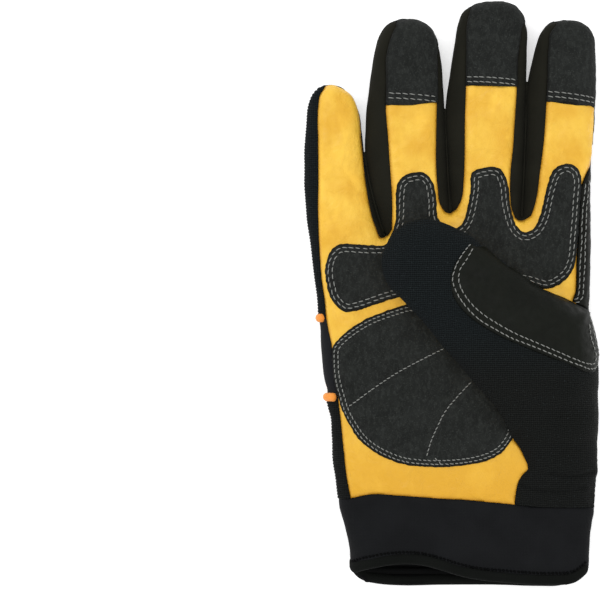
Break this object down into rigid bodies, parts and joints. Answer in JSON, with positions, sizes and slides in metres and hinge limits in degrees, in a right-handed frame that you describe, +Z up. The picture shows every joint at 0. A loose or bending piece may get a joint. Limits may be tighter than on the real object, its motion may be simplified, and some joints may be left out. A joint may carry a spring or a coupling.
{
  "type": "mechanic glove",
  "caption": "Right-hand work glove with a grained leather palm, suede grip patches, ribbed knit back and an open elastic cuff, lying palm up.",
  "frame": {"origin": "centre of the outline seen from above, on the surface the glove lies on", "axes": "+X from the little finger to the thumb side, +Y from the cuff to the fingertips, +Z up out of the palm"},
  "size_m": [0.1202, 0.2395, 0.0319],
  "materials": {
    "yellow_leather": "matt grained leather",
    "charcoal_suede": "napped suede",
    "fourchette": "matt stretch cloth",
    "thumb_patch": "smooth matt",
    "ribbed_knit": "fine ribbed knit",
    "smooth_band": "smooth neoprene",
    "cuff_elastic": "smooth elastic cloth",
    "binding": "folded binding tape",
    "orange_piping": "soft cloth piping",
    "strap": "glossy coated tab"
  },
  "bodies": {
    "root": {"palm_leather": "yellow_leather", "thumb_leather": "yellow_leather", "upper_palm_patch": "charcoal_suede", "heel_patch": "charcoal_suede", "ring_tip_cap": "charcoal_suede", "middle_tip_cap": "charcoal_suede", "index_tip_cap": "charcoal_suede", "fourchette_little_ring": "fourchette", "fourchette_ring_middle": "fourchette", "fourchette_middle_index": "fourchette", "index_side_patch": "thumb_patch", "crotch_patch": "thumb_patch", "thumb_knit": "ribbed_knit", "back_lower_knit": "ribbed_knit", "back_upper_knit": "ribbed_knit", "back_mid_band": "smooth_band", "cuff_band": "cuff_elastic", "hem_binding": "binding", "vent_binding": "binding", "vent_gusset": "cuff_elastic", "piping_upper": "orange_piping", "piping_lower": "orange_piping", "closure_strap": "strap"}
  },
  "joints": []
}
